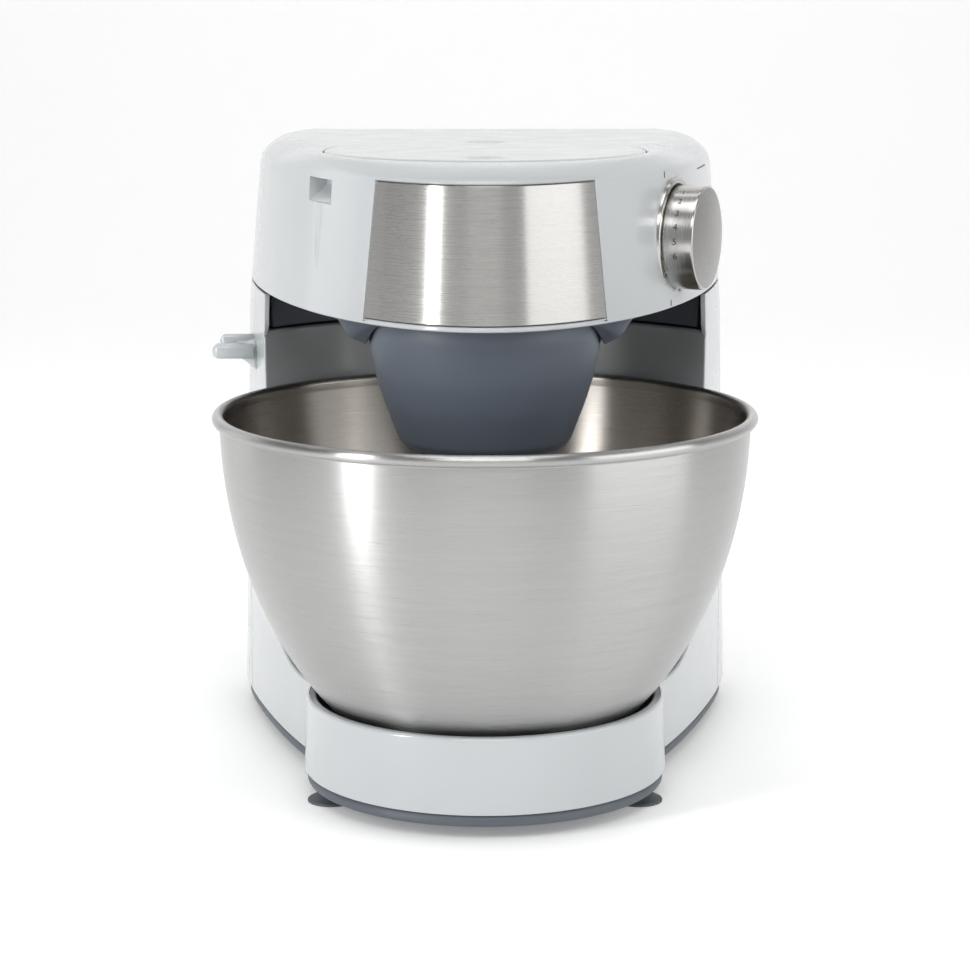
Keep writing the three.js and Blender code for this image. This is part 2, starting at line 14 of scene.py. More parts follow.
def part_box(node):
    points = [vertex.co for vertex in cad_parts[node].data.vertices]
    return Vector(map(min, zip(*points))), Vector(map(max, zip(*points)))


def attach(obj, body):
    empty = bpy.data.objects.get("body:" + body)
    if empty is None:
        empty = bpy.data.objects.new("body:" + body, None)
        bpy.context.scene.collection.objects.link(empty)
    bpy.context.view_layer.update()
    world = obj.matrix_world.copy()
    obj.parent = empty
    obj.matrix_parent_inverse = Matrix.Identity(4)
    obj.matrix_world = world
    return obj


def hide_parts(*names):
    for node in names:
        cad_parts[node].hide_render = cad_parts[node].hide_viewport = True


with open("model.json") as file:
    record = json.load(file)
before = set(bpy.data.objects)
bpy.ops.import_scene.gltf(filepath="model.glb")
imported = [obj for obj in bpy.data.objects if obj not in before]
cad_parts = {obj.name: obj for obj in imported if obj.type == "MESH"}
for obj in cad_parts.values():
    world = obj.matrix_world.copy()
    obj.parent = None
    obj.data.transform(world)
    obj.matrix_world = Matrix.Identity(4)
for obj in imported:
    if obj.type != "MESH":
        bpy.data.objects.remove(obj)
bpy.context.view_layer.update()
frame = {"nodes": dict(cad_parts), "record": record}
scene = bpy.context.scene
MM = 0.001


def middle(node):
    low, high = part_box(node)
    return (Vector(low) + Vector(high)) / 2


AXIS = middle("bowl")
CENTRE = Vector((AXIS.x, AXIS.y, 0.0))


def row(point):
    """A point about the bowl's axis in millimetres, in the row frame in metres."""
    return Vector((AXIS.x + point[0] * MM, AXIS.y + point[1] * MM, point[2] * MM))


# ---------- driving dimensions, as in the CAD ----------
NOSE, WIDEST, REAR, SQUARE = -73.0, 155.0, 236.0, 3
SHOULDER_Z, SHOULDER_WIDTH, TOWER_DRAFT, HEAD_DRAFT = 208.0, 116.8, 0.0255, 0.0895
BASE_Z, DECK_Z, TOWER_Z, HEAD_Z, TOP_Z = 12.0, 200.6, 218.2, 219.2, 288.0
PEDESTAL_R, OPENING_R, PEDESTAL_Z = 82.2, 76.5, 46.0
SWEEP_R, FACE_R = 40.0, 127.0
SEAM_Y = 130.0
HINGE_Y, HINGE_Z, DRUM_R, ROOM_R = 198.0, 212.0, 38.0, 39.2
LID_Y, LID_R = 35.0, 73.0
KNOB = Vector((84.5, 25.0, 250.0))
KNOB_TURN = -21.5
DIAL_AXIS = (cos(radians(KNOB_TURN)), sin(radians(KNOB_TURN)), 0.0)
DIAL_FRAME = Matrix.Rotation(radians(KNOB_TURN), 3, "Z") @ Matrix.Rotation(radians(90), 3, "Y")
PANEL_LOW, PANEL_HIGH = 222.0, 280.6
SKIN = 2.6

# ---------- dimensions of the visible surfaces ----------
EDGE = 1.2  # how far below the crease the rounding of the head's upper edge starts
WALL_LOW, WALL_SPAN = 221.6, 59.2  # the head's walls above their lowest rows
LOW_ROWS = [HEAD_Z, 220.2, WALL_LOW]
PANEL_CORNER_Z = 273  # the height at which the side walls' front end is measured
DRUM_FRONT = 160.7  # y at which the side walls reach the hinge's barrel
BACK_FOOT, BACK_BEND, BACK_TOP_Y = (224.9, 238.9), (217, 268), 214  # the head's rear edge, as y, z
SLOT_IN, SLOT_OUT, SLOT_FROM, SLOT_TO = 67.1, 72.9, 236, 345  # the hinge brackets' slots, mm and degrees
GRIP_Y, GRIP_Z, GRIP_DEPTH = (-15.6, 7.4), (268.0, 278.6), 8.0
SEAM_GAP = 0.5  # half the joint between the base and its rear cover
SEAT_R = 78.0  # where the cradle's flat starts
WALL_BEND = 2.3  # length of the turn between the cradle and the outer wall
LID_TOP = 288.4
TRAY_Z, TRAY_DEEP_Z, TRAY_R, TRAY_END = 218.7, 201.5, 128.6, 155
BOWL_R, BOWL_CENTRE_Z, BOWL_DEPTH, BOWL_WALL = 118.3, 175, 166, 1.2
DIAL_RIM_R, DIAL_RIM_Z, DIAL_CROWN = 22.4, 16.4, 1.5
LEVER_Y, LEVER_Z = 110, 188.2


def clamp(value, low=0.0, high=1.0):
    return max(low, min(high, value))


def mix(a, b, t):
    return a + (b - a) * t


def mix_points(a, b, t):
    return tuple(mix(p, q, t) for p, q in zip(a, b))


def smooth(t):
    t = clamp(t)
    return t * t * (3 - 2 * t)


def spread(start, end, count):
    return [mix(start, end, i / count) for i in range(count + 1)]


def circle(steps):
    return [2 * pi * i / steps for i in range(steps)]


def polar(r, angle, z):
    return (r * cos(angle), r * sin(angle), z)


def full_width(z):
    drop = z - SHOULDER_Z
    return SHOULDER_WIDTH - (TOWER_DRAFT if drop < 0 else HEAD_DRAFT) * drop


def nose_fullness(z):
    return 1.16 + 0.39 * clamp((z - 12) / 207)


def half_width(y, z, inset=0.0):
    full = full_width(z) - inset
    if y <= WIDEST:
        nose = NOSE + inset
        along = clamp((y - nose) / (WIDEST - nose))
        return full * sqrt(max(0.0, 1 - (1 - along) ** nose_fullness(z)))
    along = clamp((y - WIDEST) / (REAR - inset - WIDEST))
    return full * (1 - along**SQUARE) ** (1 / SQUARE)


def nose_y(x, z, inset=0.0):
    """The y at which the nose reaches half-width x."""
    nose = NOSE + inset
    share = clamp(abs(x) / (full_width(z) - inset))
    return nose + (WIDEST - nose) * (1 - (1 - share * share) ** (1 / nose_fullness(z)))


def solve(test, low, high):
    """Where test turns from true to false between low and high."""
    for _ in range(34):
        half = (low + high) / 2
        low, high = (half, high) if test(half) else (low, half)
    return low


def nose_row(z, half, steps, inset=0.0):
    """Points across the nose at one height, set in by a distance in mm."""
    return [(x, nose_y(x, z) + inset, z) for x in spread(-half, half, steps)]


def wall_radius(angle, z, inset=0.0):
    """Distance from the bowl's axis to the body's wall in one direction."""
    c, s = cos(angle), sin(angle)

    def inside(r):
        return NOSE + inset < r * s < REAR - inset and abs(r * c) < half_width(r * s, z, inset)

    return solve(inside, 0.0, 300.0)


# ---------- surfaces ----------
def farthest(faces, centre):
    """The face farthest from the centre, which always lies on the outside."""
    return max(faces, key=lambda face: (face.calc_center_median() - centre).length)


def put(name, data):
    """A new object in the scene."""
    made = bpy.data.objects.new(name, data)
    scene.collection.objects.link(made)
    return made


def plain_mesh(name, points, faces):
    mesh = bpy.data.meshes.new(name)
    mesh.from_pydata(points, [], faces)
    return mesh


class Sheet:
    """Quads on a welded set of points, made into one object."""

    def __init__(self):
        self.points, self.faces = [], []

    def grid(self, rows, closed=False, keep=None):
        start, wide = len(self.points), len(rows[0])
        for line in rows:
            self.points.extend(line)
        for i in range(len(rows) - 1):
            for j in range(wide if closed else wide - 1):
                if keep and not keep(i, j):
                    continue
                a, b = start + i * wide + j, start + i * wide + (j + 1) % wide
                self.faces.append((a, b, b + wide, a + wide))
        return self

    def both_sides(self, rows):
        self.grid(rows)
        return self.grid([[(-x, y, z) for x, y, z in line] for line in rows])

    def make(
        self, name, body, look, nodes=(), thick=0.0, edge=0.0, rim=0.0, place=row, soften=None, slim=None
    ):
        """One piece: walls thick mm deep, sharp edges bevelled by edge mm and open ones by rim mm,
        only where soften is true; walls are a tenth as thick where slim is true."""
        mesh = plain_mesh(name, [place(p) for p in self.points], self.faces)
        shape = bmesh.new()
        shape.from_mesh(mesh)
        bmesh.ops.remove_doubles(shape, verts=shape.verts, dist=0.02 * MM)
        bmesh.ops.dissolve_degenerate(shape, edges=shape.edges, dist=0.005 * MM)
        bmesh.ops.recalc_face_normals(shape, faces=shape.faces)
        centre = sum((v.co for v in shape.verts), Vector()) / len(shape.verts)
        outer = farthest(shape.faces, centre)
        if outer.normal.dot(outer.calc_center_median() - centre) < 0:
            bmesh.ops.reverse_faces(shape, faces=shape.faces)
        weight = shape.edges.layers.float.new("bevel_weight_edge")
        for line in shape.edges:
            if soften and not soften((line.verts[0].co - CENTRE) / MM):
                line.smooth = line.is_boundary or degrees(line.calc_face_angle(0.0)) < 28
                continue
            if line.is_boundary:
                line[weight] = rim / edge if edge else 0.0
            elif len(line.link_faces) == 2 and degrees(line.calc_face_angle(0.0)) > 35:
                line[weight] = 1.0
        for face in shape.faces:
            face.smooth = True
        shape.to_mesh(mesh)
        shape.free()
        piece = put(name, mesh)
        if thick:
            wall = piece.modifiers.new("wall", "SOLIDIFY")
            wall.thickness, wall.offset = thick * MM, -1
            if slim:
                share = piece.vertex_groups.new(name="wall")
                for point in mesh.vertices:
                    thin = slim((point.co - CENTRE) / MM)
                    share.add([point.index], 0.1 if thin else 1.0, "REPLACE")
                wall.vertex_group = "wall"
        if edge:
            bevel = piece.modifiers.new("edges", "BEVEL")
            bevel.limit_method, bevel.width, bevel.segments = "WEIGHT", edge * MM, 3
            bevel.use_clamp_overlap, bevel.harden_normals = False, True
        finish_piece(piece, body, look, nodes)


def ring_piece(rows, *names, **options):
    """A piece from rows that each close on themselves."""
    Sheet().grid(rows, closed=True).make(*names, **options)


def finish_piece(piece, body, look, nodes=()):
    piece.data.materials.append(LOOKS[look])
    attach(piece, body)
    if nodes:
        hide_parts(*nodes)


def rounded(corners, closed=False, steps=4):
    """A 2-D line through [u, v] or [u, v, radius] corners, with each given radius as a soft bend."""
    line, count = [], len(corners)
    for i, corner in enumerate(corners):
        radius = corner[2] if len(corner) > 2 else 0
        at = Vector(corner[:2])
        if not radius or (not closed and i in (0, count - 1)):
            line.append(tuple(at))
            continue
        back = Vector(corners[i - 1][:2]) - at
        ahead = Vector(corners[(i + 1) % count][:2]) - at
        p, q = at + back.normalized() * radius, at + ahead.normalized() * radius
        for k in range(steps + 1):
            t = k / steps
            line.append(tuple(p * (1 - t) ** 2 + at * 2 * t * (1 - t) + q * t * t))
    return line


def turned(profile, steps=128, x=0.0, y=0.0):
    """Rows of a surface of revolution about an upright line through x, y."""
    return [[(x + r * cos(a), y + r * sin(a), z) for a in circle(steps)] for r, z in profile]


# ---------- camera ----------
def aim(thing, place, target):
    thing.location = Vector(place)
    thing.rotation_euler = (Vector(target) - Vector(place)).to_track_quat("-Z", "Y").to_euler()


def add_camera():
    lens = bpy.data.cameras.new("camera")
    lens.lens, lens.sensor_width = 103.4, 36.0
    camera = put("camera", lens)
    camera.location = row((0, -1230, 374))
    camera.rotation_euler = (radians(90 - 10.74), 0, 0)
    scene.camera = camera


add_camera()


# ---------- materials ----------
class Look:
    """A material of noise, ramps and bumps on one Principled shader."""

    def __init__(self, name, **sockets):
        self.material = bpy.data.materials.new(name)
        self.material.use_nodes = True
        self.tree = self.material.node_tree
        self.shader = self.tree.nodes["Principled BSDF"]
        for socket, value in sockets.items():
            self.shader.inputs[socket.replace("_", " ")].default_value = value
        self.where = self.node("ShaderNodeTexCoord").outputs["Object"]

    def node(self, kind, **values):
        made = self.tree.nodes.new(kind)
        for key, value in values.items():
            if hasattr(made, key):
                setattr(made, key, value)
            else:
                made.inputs[key.replace("_", " ")].default_value = value
        return made

    def link(self, source, target):
        self.tree.links.new(source, target)

    def math(self, operation, a, b=None):
        made = self.node("ShaderNodeMath", operation=operation)
        for i, value in enumerate((a, b)):
            if value is None:
                continue
            if isinstance(value, (int, float)):
                made.inputs[i].default_value = value
            else:
                self.link(value, made.inputs[i])
        return made.outputs[0]

    def noise(self, scale, where=None, detail=3.0, roughness=0.5):
        made = self.node("ShaderNodeTexNoise", Scale=scale, Detail=detail, Roughness=roughness)
        self.link(where or self.where, made.inputs["Vector"])
        return made.outputs["Fac"]

    def rough(self, source, middle_value, below=0.03, above=0.04):
        """Roughness that a texture drives from a little below a value to a little above it."""
        low, high = middle_value - below, middle_value + above
        made = self.node("ShaderNodeMapRange", From_Min=0.3, From_Max=0.7, To_Min=low, To_Max=high)
        self.link(source, made.inputs["Value"])
        self.link(made.outputs["Result"], self.shader.inputs["Roughness"])

    def tint(self, source, dark, light):
        made = self.node("ShaderNodeValToRGB")
        for stop, at, color in zip(made.color_ramp.elements, (0.3, 0.7), (dark, light)):
            stop.position, stop.color = at, (*color, 1.0)
        self.link(source, made.inputs["Fac"])
        self.link(made.outputs["Color"], self.shader.inputs["Base Color"])
        return made.outputs["Color"]

    def bump(self, source, height_mm, strength=1.0, onto=None):
        made = self.node("ShaderNodeBump", Strength=strength, Distance=height_mm * MM)
        self.link(source, made.inputs["Height"])
        if onto:
            self.link(onto, made.inputs["Normal"])
        self.link(made.outputs["Normal"], self.shader.inputs["Normal"])
        return made.outputs["Normal"]

    def blend(self, fine, broad):
        return self.math("ADD", self.math("MULTIPLY", fine, 0.75), self.math("MULTIPLY", broad, 0.25))

    def hypotenuse(self, a, b):
        squares = [self.math("MULTIPLY", side, side) for side in (a, b)]
        return self.math("SQRT", self.math("ADD", *squares))

    def split(self, where):
        made = self.node("ShaderNodeSeparateXYZ")
        self.link(where, made.inputs[0])
        return made.outputs

    def join(self, values, scales):
        joined = self.node("ShaderNodeCombineXYZ")
        for i, (value, scale) in enumerate(zip(values, scales)):
            self.link(self.math("MULTIPLY", value, scale), joined.inputs[i])
        return joined.outputs[0]

    def vectors(self, operation, a, b):
        made = self.node("ShaderNodeVectorMath", operation=operation)
        self.link(a, made.inputs[0])
        if isinstance(b, tuple):
            made.inputs[1].default_value = b
        else:
            self.link(b, made.inputs[1])
        return made.outputs["Value" if operation == "DOT_PRODUCT" else "Vector"]

    def from_line(self, centre):
        """Where a point lies from the foot of an upright line."""
        return self.vectors("SUBTRACT", self.where, (centre[0], centre[1], 0))

    def around(self, centre, squeeze):
        """Coordinates of angle, radius and height about an upright line."""
        x, y, z = self.split(self.from_line(centre))
        angle = self.math("ARCTAN2", x, self.math("MULTIPLY", y, -1.0))
        return self.join((angle, self.hypotenuse(x, y), z), squeeze)

    def spread_along(self, direction):
        """Brushed highlights draw out across the brush lines, along this direction."""
        joined = self.node("ShaderNodeCombineXYZ", **dict(zip("XYZ", direction)))
        self.link(joined.outputs[0], self.shader.inputs["Tangent"])

    def mapped(self, **values):
        made = self.node("ShaderNodeMapping", **values)
        self.link(self.where, made.inputs["Vector"])
        return made.outputs[0]


def moulded(name, dark, light, roughness, grain_mm, height_mm, **sockets):
    """A moulded plastic: slow colour drift, a little sink and a fine surface grain."""
    look = Look(name, **sockets)
    look.tint(look.noise(9.0, detail=2.0), dark, light)
    look.rough(look.noise(60.0), roughness, 0.03, 0.03)
    sink = look.bump(look.noise(14.0, detail=1.0), 0.12, 0.06)
    look.bump(look.noise(1.0 / (grain_mm * MM), detail=2.0), height_mm, 0.5, onto=sink)
    return look.material


def spun_steel(name, centre, dark, light, inside, roughness, **sockets):
    """Steel brushed in rings about an upright line, with a warmer, darker tint painted where it faces the
    line: a painted reflection.
    """
    look = Look(name, Metallic=1.0, **sockets)
    rings = look.noise(1.0, look.around(centre, (5.0, 1500.0, 3000.0)), detail=4.0, roughness=0.65)
    broad = look.noise(1.0, look.around(centre, (1.6, 200.0, 420.0)), detail=3.0)
    color = look.tint(look.blend(rings, broad), dark, light)
    flat = look.vectors("MULTIPLY", look.from_line(centre), (1, 1, 0))
    facing = look.vectors("DOT_PRODUCT", flat, look.node("ShaderNodeNewGeometry").outputs["Normal"])
    inside_reflection_tint = look.node("ShaderNodeMix", data_type="RGBA", blend_type="MULTIPLY")
    look.link(look.math("LESS_THAN", facing, 0.0), inside_reflection_tint.inputs["Factor"])
    look.link(color, inside_reflection_tint.inputs[6])
    inside_reflection_tint.inputs[7].default_value = (*inside, 1.0)
    look.link(inside_reflection_tint.outputs[2], look.shader.inputs["Base Color"])
    look.rough(rings, roughness, 0.04, 0.05)
    look.bump(rings, 0.012, 0.16)
    look.spread_along((0, 0, 1))
    return look.material


def brushed_steel(name, along, dark, light, roughness, **sockets):
    """Steel brushed in straight lines; along is small for the direction of the lines."""
    look = Look(name, Metallic=1.0, **sockets)
    lines = look.noise(1.0, look.mapped(Scale=along), detail=4.0, roughness=0.65)
    broad = look.noise(1.0, look.mapped(Scale=tuple(a / 7 for a in along)), detail=2.0)
    look.tint(look.blend(lines, broad), dark, light)
    look.rough(lines, roughness)
    look.bump(lines, 0.01, 0.12)
    look.spread_along((0, 0, 1))
    return look.material


def turned_steel(name, dark, light, roughness, across, **sockets):
    """Steel brushed in fine rings about the dial's axis; across is the way its highlights draw out."""
    look = Look(name, Metallic=1.0, **sockets)
    turn = (0, 0, radians(KNOB_TURN))
    x, y, z = look.split(look.mapped(vector_type="TEXTURE", Location=row(KNOB), Rotation=turn))
    angle = look.math("ARCTAN2", y, z)
    where = look.join((x, look.hypotenuse(y, z), angle), (3200.0, 3200.0, 1.5))
    rings = look.noise(1.0, where, detail=4.0, roughness=0.6)
    look.tint(rings, dark, light)
    look.rough(rings, roughness)
    look.bump(rings, 0.006, 0.1)
    look.spread_along(across)
    return look.material


def cast_metal(name, dark, light, roughness):
    """A rough casting."""
    look = Look(name, Metallic=1.0)
    look.tint(look.noise(120.0, detail=4.0), dark, light)
    look.rough(look.noise(300.0), roughness, 0.06, 0.08)
    look.bump(look.noise(900.0, detail=4.0), 0.05, 0.4)
    return look.material


def winding(name):
    """Enamelled wire wound about the motor's shaft."""
    look = Look(name, Metallic=0.8)
    rings = look.noise(1.0, look.around(row((0, 112, 0)), (2.0, 1400.0, 1400.0)), detail=2.0)
    look.tint(rings, (0.20, 0.07, 0.03), (0.55, 0.25, 0.10))
    look.rough(rings, 0.4, 0.1, 0.1)
    look.bump(rings, 0.25, 0.8)
    return look.material


# Each plastic: name, darker and lighter colour, roughness, grain size and height in mm.
PLASTICS = {
    "slate": ("satin_slate", (0.106, 0.126, 0.158), (0.116, 0.137, 0.171), 0.46, 0.35, 0.02),
    "dark": ("satin_dark", (0.075, 0.088, 0.105), (0.092, 0.105, 0.122), 0.5, 0.35, 0.02),
    "rubber": ("dull_rubber", (0.060, 0.072, 0.088), (0.082, 0.094, 0.11), 0.62, 0.25, 0.02),
    # printed marks, and painted shade for a slit
    "print_and_slit_shade": ("dark_marks", (0.015, 0.015, 0.017), (0.025, 0.025, 0.028), 0.5, 0.3, 0.005),
    # painted shade: a near-black sheet set in joints and gaps where only shade falls
    "shadow": ("joint_shade", (0.03, 0.033, 0.038), (0.045, 0.05, 0.055), 0.7, 0.3, 0.01),
    "soft_rubber": ("soft_rubber", (0.060, 0.072, 0.088), (0.082, 0.094, 0.11), 0.62, 0.25, 0.02),
    "belt_rubber": ("belt_rubber", (0.012, 0.012, 0.013), (0.022, 0.022, 0.024), 0.7, 0.3, 0.03),
    "nylon": ("natural_nylon", (0.66, 0.64, 0.55), (0.76, 0.74, 0.65), 0.42, 0.4, 0.01),
    "circuit_board": ("solder_mask", (0.02, 0.10, 0.045), (0.03, 0.14, 0.06), 0.35, 0.5, 0.02),
}
LOOKS = {look: moulded(*values) for look, values in PLASTICS.items()}
LOOKS["white"] = moulded(
    "gloss_white", (0.432, 0.455, 0.466), (0.47, 0.492, 0.503), 0.2, 0.9, 0.001,
    Coat_Weight=0.35, Coat_Roughness=0.08, Specular_IOR_Level=0.5,
)
# the inside colour multiplies the bowl's inner face warmer and darker: a painted reflection
LOOKS["bowl_out"] = spun_steel(
    "spun_steel", CENTRE, (0.40, 0.398, 0.394), (0.47, 0.467, 0.463), (1.0, 0.95, 0.89), 0.3,
    Anisotropic=0.93,
)
LOOKS["panel"] = brushed_steel(
    "panel_steel", (40.0, 60.0, 3000.0), (0.41, 0.402, 0.39), (0.465, 0.457, 0.445), 0.27,
    Anisotropic=0.93,
)
LOOKS["dial"] = turned_steel(
    "dial_steel", (0.51, 0.50, 0.48), (0.57, 0.56, 0.54), 0.24, DIAL_AXIS, Anisotropic=0.7
)
# the dial's face is a darker copy of the dial's steel: painted shade
LOOKS["dial_face"] = turned_steel(
    "dial_face", (0.31, 0.305, 0.297), (0.36, 0.355, 0.345), 0.26, (0, 0, 1), Anisotropic=0.7
)
LOOKS["copper_winding"] = winding("copper_winding")
LOOKS["cast_metal"] = cast_metal("cast_metal", (0.40, 0.41, 0.43), (0.52, 0.53, 0.55), 0.42)
LOOKS["plain_steel"] = brushed_steel(
    "ground_steel", (900.0, 900.0, 40.0), (0.42, 0.42, 0.42), (0.55, 0.55, 0.55), 0.3
)
NODE_LOOKS = {
    "white_shell": "white", "slate_plastic": "slate", "dark_base": "dark",
    "bowl_steel": "bowl_out", "panel_steel": "panel", "dial_steel": "dial",
}


def dress_kept_nodes():
    """Every CAD node gets its slot's material; those that a fine piece replaces aren't shown."""
    for part in frame["record"]["subparts"]:
        slot = part["material_slot"]
        node = frame["nodes"][part["node"]]
        node.data.materials.clear()
        node.data.materials.append(LOOKS[NODE_LOOKS.get(slot, slot)])


dress_kept_nodes()


# ---------- head ----------
def crease_z(y):
    """Height of the soft edge between the head's walls and its top."""
    return 282 - 5 * clamp((y - 5) / 121, 0, 1.3) ** 1.3


def panel_half(z):
    """Half the front panel's width at a height."""
    return mix(52.0, 46.2, (z - PANEL_LOW) / 58.2)


def drum_arc(radius, start, end, steps):
    """Points (y, z) about the hinge, by angles in degrees."""
    for i in range(steps + 1):
        a = radians(mix(start, end, i / steps))
        yield HINGE_Y + radius * cos(a), HINGE_Z + radius * sin(a)


def grip_depth(y, z):
    """How far the finger recess and the flute below it are set into the left wall."""
    (y0, y1), (z0, z1) = GRIP_Y, GRIP_Z
    if y0 < y < y1 and z0 < z < z1:
        return mix(0.7, GRIP_DEPTH, clamp((z - z0) / 6.2) ** 1.3)
    if z > z0 - 0.4:
        return 0.0
    fall = clamp((z - 236) / (z0 - 236))
    half, centre = 0.6 + 4.4 * fall, mix(y0, y1, 0.52)
    return 0.75 * smooth(fall * 3) * max(0.0, 1 - abs(y - centre) / half)


def side_steps(front_y):
    """Shares along the side wall, dense round the finger recess."""
    y0, y1 = GRIP_Y
    reach = DRUM_FRONT - front_y
    shares = {round((y - front_y) / reach, 5) for y in spread(y0 + 0.3, y1 - 0.3, 24)}
    shares |= {round((y - front_y) / reach, 5) for y in (y0 - 0.05, y1 + 0.05)}
    front = [s * s for s in spread(0, 1, 12)]
    shares |= {round(s * min(shares), 5) for s in front}
    rest = max(shares)
    shares |= {round(mix(rest, 1.0, s), 5) for s in spread(0, 1, 48)}
    return sorted(shares)


def rim_points():
    """The head's lower and rear edge, and the point of the upper edge above each."""
    start = 180 - degrees(asin(7.2 / DRUM_R))
    lower = list(drum_arc(DRUM_R, start, 405, 60))[1:]
    lower += [mix_points(BACK_FOOT, BACK_BEND, s) for s in spread(0.12, 1, 8)]
    back_top = (BACK_TOP_Y, crease_z(BACK_TOP_Y) - EDGE)
    lower += [mix_points(BACK_BEND, back_top, s) for s in spread(0.25, 1, 4)]
    above = [mix(DRUM_FRONT, BACK_TOP_Y, (i + 1) / len(lower)) for i in range(len(lower))]
    return lower, [(y, crease_z(y)) for y in above]


GRIP_ROWS = (GRIP_Z[0] - 0.05, GRIP_Z[0] + 0.3, 270.2, 272.4, GRIP_Z[1] - 0.3, GRIP_Z[1] + 0.05)
Z_SHARES = sorted(set(spread(0, 1, 30)) | {(z - WALL_LOW) / WALL_SPAN for z in GRIP_ROWS})


def side_column(share):
    """One upright line of the side wall in front of the drum, as (y, z) from bottom to top."""
    start = nose_y(panel_half(PANEL_CORNER_Z), PANEL_CORNER_Z)
    straight = mix(start, DRUM_FRONT, share)
    grip = GRIP_Y[0] - 0.05
    top = crease_z(straight) - EDGE
    line = []
    for z in LOW_ROWS + [mix(WALL_LOW, top, s) for s in Z_SHARES[1:]]:
        y = straight
        if straight < grip:
            y = mix(nose_y(panel_half(z), z), grip, (straight - start) / (grip - start))
        line.append((y, z))
    return line


def head_columns():
    """The side wall's lines from the panel's corner back over the barrel and up the rear edge."""
    shares = side_steps(nose_y(panel_half(PANEL_CORNER_Z), PANEL_CORNER_Z))
    columns = [side_column(share) for share in shares]
    count = len(columns[0])
    for (y0, z0), (y1, z1) in zip(*rim_points()):
        steps = [0, 0.016, 0.038] + [mix(0.038, 1, s) for s in Z_SHARES[1:]]
        columns.append([(mix(y0, y1, s), mix(z0, z1 - EDGE, s)) for s in steps[:count]])
    return columns


def back_line(full):
    """Places across the head's back, with the hinge brackets' slots between two of them."""
    half = [min(x, full) for x in spread(0, SLOT_IN, 14) + spread(SLOT_OUT, 119, 12)]
    return [-x for x in reversed(half)] + half[1:]


def wall_point(y, z, side, inset=0.0):
    """A point of the head's wall on one side; the left one has the finger recess."""
    x = half_width(y, z, inset)
    if side < 0 and y < 40:
        ahead = half_width(y + 0.5, z) - half_width(y - 0.5, z)
        normal = Vector((1.0, -ahead)).normalized()
        depth = grip_depth(y, z)
        return (-(x - normal.x * depth), y - normal.y * depth, z)
    return (side * x, y, z)


def top_loop(columns):
    """The head's upper edge as a closed loop of wall points, starting at the panel's left corner."""
    right = [column[-1] for column in columns]
    side = [(half_width(y, z), y, z) for y, z in right]
    rear = side[-1]
    inside = [x for x in back_line(rear[0]) if abs(x) < rear[0] - 0.01]
    across = [(x, rear[1], rear[2]) for x in reversed(inside)]
    half = side[0][0]
    nose = [(x, nose_y(x, side[0][2]), side[0][2]) for x in spread(-half, half, 36)[1:-1]]
    left = [(-x, y, z) for x, y, z in reversed(side)]
    return nose + side + across + left


def loop_normals(loop):
    """Inward directions along a closed loop, softened round its corners."""
    count = len(loop)
    flat = []
    for i in range(count):
        (x0, y0, _), (x1, y1, _) = loop[i - 1], loop[(i + 1) % count]
        flat.append(Vector((-(y1 - y0), x1 - x0)).normalized())
    for _ in range(10):
        flat = [(flat[i - 1] + flat[i] * 2 + flat[(i + 1) % count]).normalized() for i in range(count)]
    return flat


def curve(start, toward, finish, t):
    """A point on the quadratic curve of three control points."""
    pairs = zip(start, toward, finish)
    return tuple(a * (1 - t) ** 2 + 2 * b * t * (1 - t) + c * t * t for a, b, c in pairs)


def top_skin(loop):
    """The head's crowned top, from its soft edge in to the rim of the lid's seat."""
    normals = loop_normals(loop)
    lines = [[] for _ in range(9 + 8 + 8 + 3)]
    for (x, y, z), inward in zip(loop, normals):
        crease = z + EDGE
        out = Vector((x, y - LID_Y))
        gap = out.length - LID_R - 0.6
        toward_lid = -out.normalized()
        inward = toward_lid / max(0.5, inward.dot(toward_lid))
        round_side = smooth((y - 40) / 90)
        width = min(mix(26.0, 19.0, round_side), 0.8 * gap / inward.length)
        rise = TOP_Z - crease

        def height(inset):
            t = clamp(inset / width)
            slope = 1 - (1 - t) ** 2
            dome = sqrt(slope)
            lower = EDGE * 0.6 * round_side
            return crease - lower + (rise + lower) * mix(slope, dome, round_side)

        ends = (0.0, z), (0.0, crease - 0.2), (EDGE, height(EDGE))
        profile = [curve(*ends, t) for t in spread(0, 1, 8)]
        profile += [(u, height(u)) for u in spread(EDGE, width, 8)[1:]]
        at = [(x + inward.x * u, y + inward.y * u, v) for u, v in profile]
        toward = out.normalized() * (LID_R + 0.7)
        rim = (toward.x, LID_Y + toward.y, TOP_Z)
        at += [mix_points(at[-1], rim, s) for s in spread(0, 1, 8)[1:]]
        for drop, radius in ((0.0, 0.55), (0.5, 0.25), (2.6, 0.25)):
            toward = out.normalized() * (LID_R + radius)
            at.append((toward.x, LID_Y + toward.y, TOP_Z - drop - 0.1))
        for line, point in zip(lines, at):
            line.append(point)
    return lines


def knob_frame(point):
    """A point given about the dial's axis, z outwards, in the row frame."""
    return row(KNOB + DIAL_FRAME @ Vector(point))


def near_dial(point, radius):
    """Whether a wall point lies in the dial's hole."""
    local = DIAL_FRAME.inverted() @ (Vector(point) - KNOB)
    return abs(local.z) < 20 and hypot(local.x, local.y) < radius


def head_skin(columns):
    """The side walls, the strip below the front panel and the top."""
    sheet = Sheet()
    for side in (-1, 1):
        rows = [[wall_point(y, z, side) for y, z in column] for column in columns]
        sheet.grid(rows, keep=lambda i, j: side < 0 or not near_dial(rows[i][j], 24.5))
    sheet.grid([nose_row(z, panel_half(z), 36) for z in LOW_ROWS])
    sheet.grid(top_skin(top_loop(columns)), closed=True)
    return sheet


